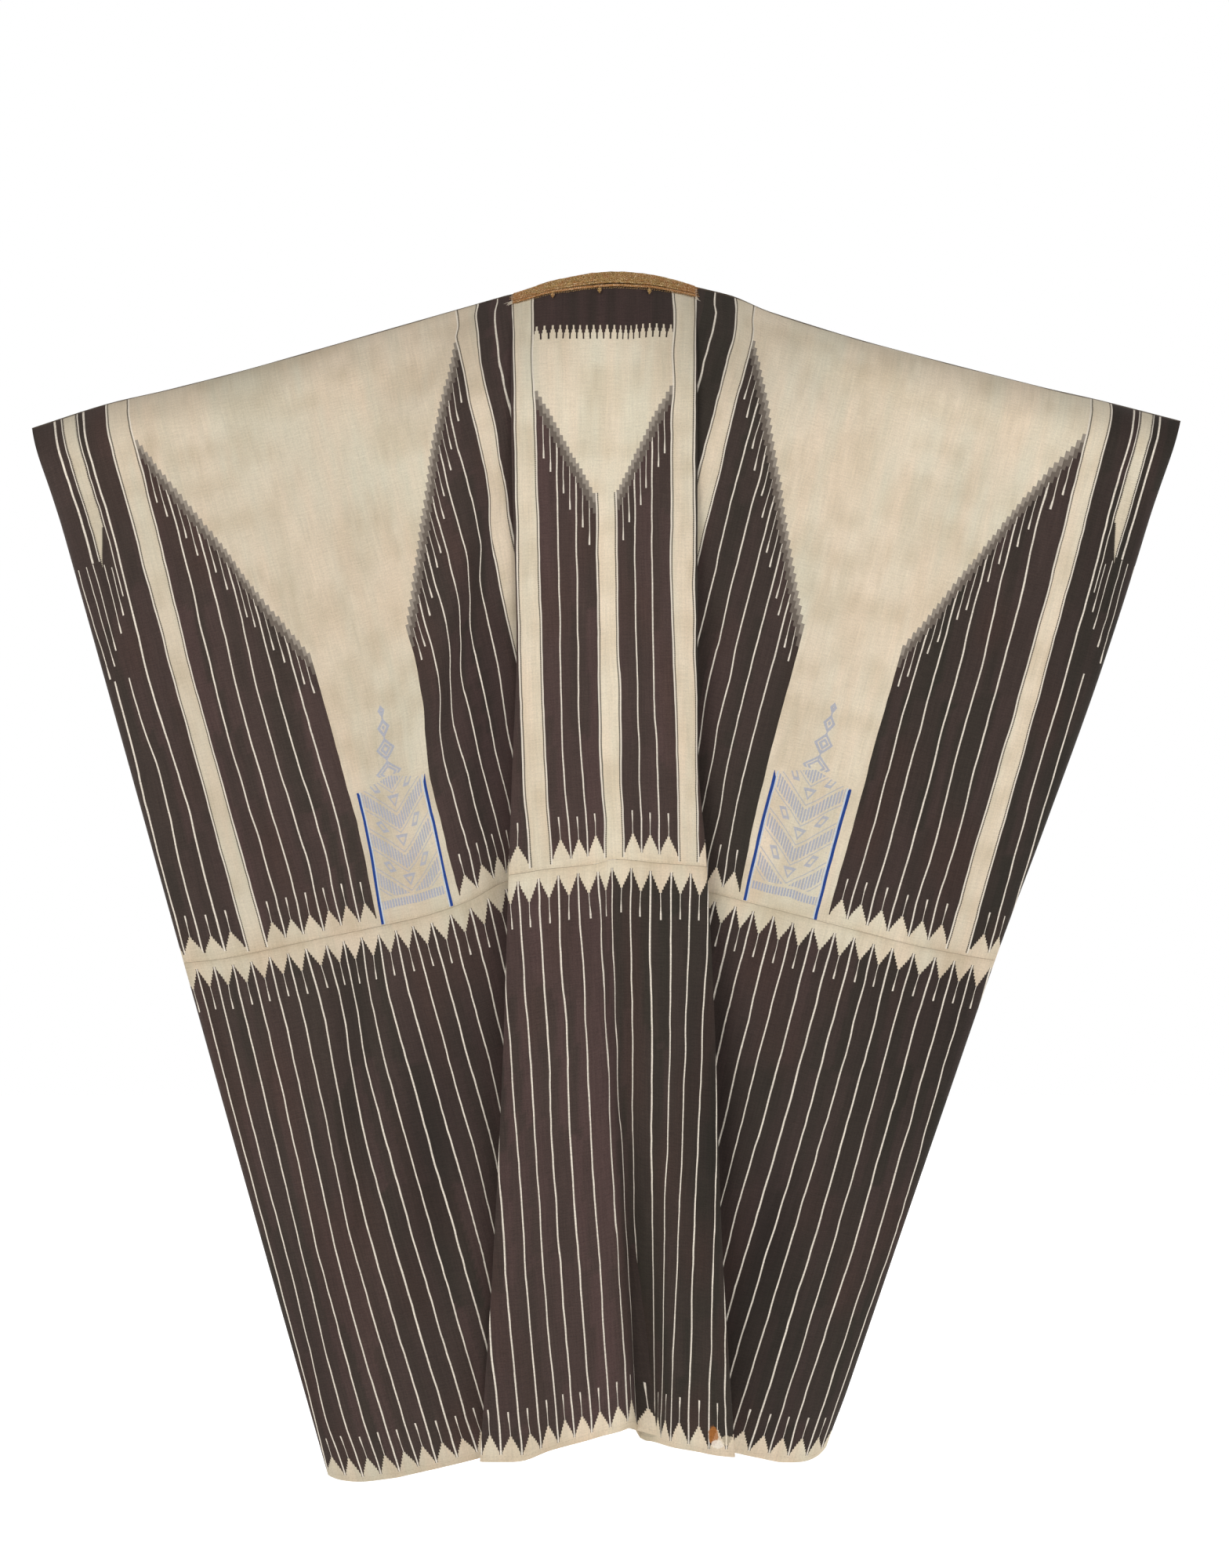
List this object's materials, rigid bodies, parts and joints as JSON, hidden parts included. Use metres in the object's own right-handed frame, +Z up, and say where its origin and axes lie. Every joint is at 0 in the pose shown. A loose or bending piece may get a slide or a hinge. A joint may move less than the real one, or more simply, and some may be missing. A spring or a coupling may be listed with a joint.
{
  "type": "aba robe",
  "caption": "Wide square-cut robe of tapestry-woven cloth, open in front, with hand openings at the side folds, deep back pleats and a gilt neck braid; hollow worn form.",
  "frame": {"origin": "middle of the neck opening, level with the tops of the shoulders that hold the robe", "axes": "+Z up, +Y out of the wearer's back, +X to the wearer's left; the open front looks along -Y"},
  "size_m": [1.3553, 0.2793, 1.4138],
  "materials": {
    "tapestry_upper": "tapestry weave, cream field with dark brown striped blocks, dull with a faint sheen",
    "tapestry_lower": "tapestry weave, dark brown with thin cream stripes, dull with a faint sheen",
    "gilt_braid": "woven braid of metal-wrapped thread, tarnished gold",
    "gilt_cord": "twisted metal-wrapped cord, tarnished gold",
    "gilt_knot": "small knots of metal-wrapped thread, tarnished gold"
  },
  "bodies": {
    "root": {"upper_loom_width": "tapestry_upper", "lower_loom_width": "tapestry_lower", "neck_braid": "gilt_braid", "neck_cord_upper": "gilt_cord", "neck_cord_lower": "gilt_cord", "gold_knot_1": "gilt_knot", "gold_knot_2": "gilt_knot", "gold_knot_3": "gilt_knot"}
  },
  "joints": []
}
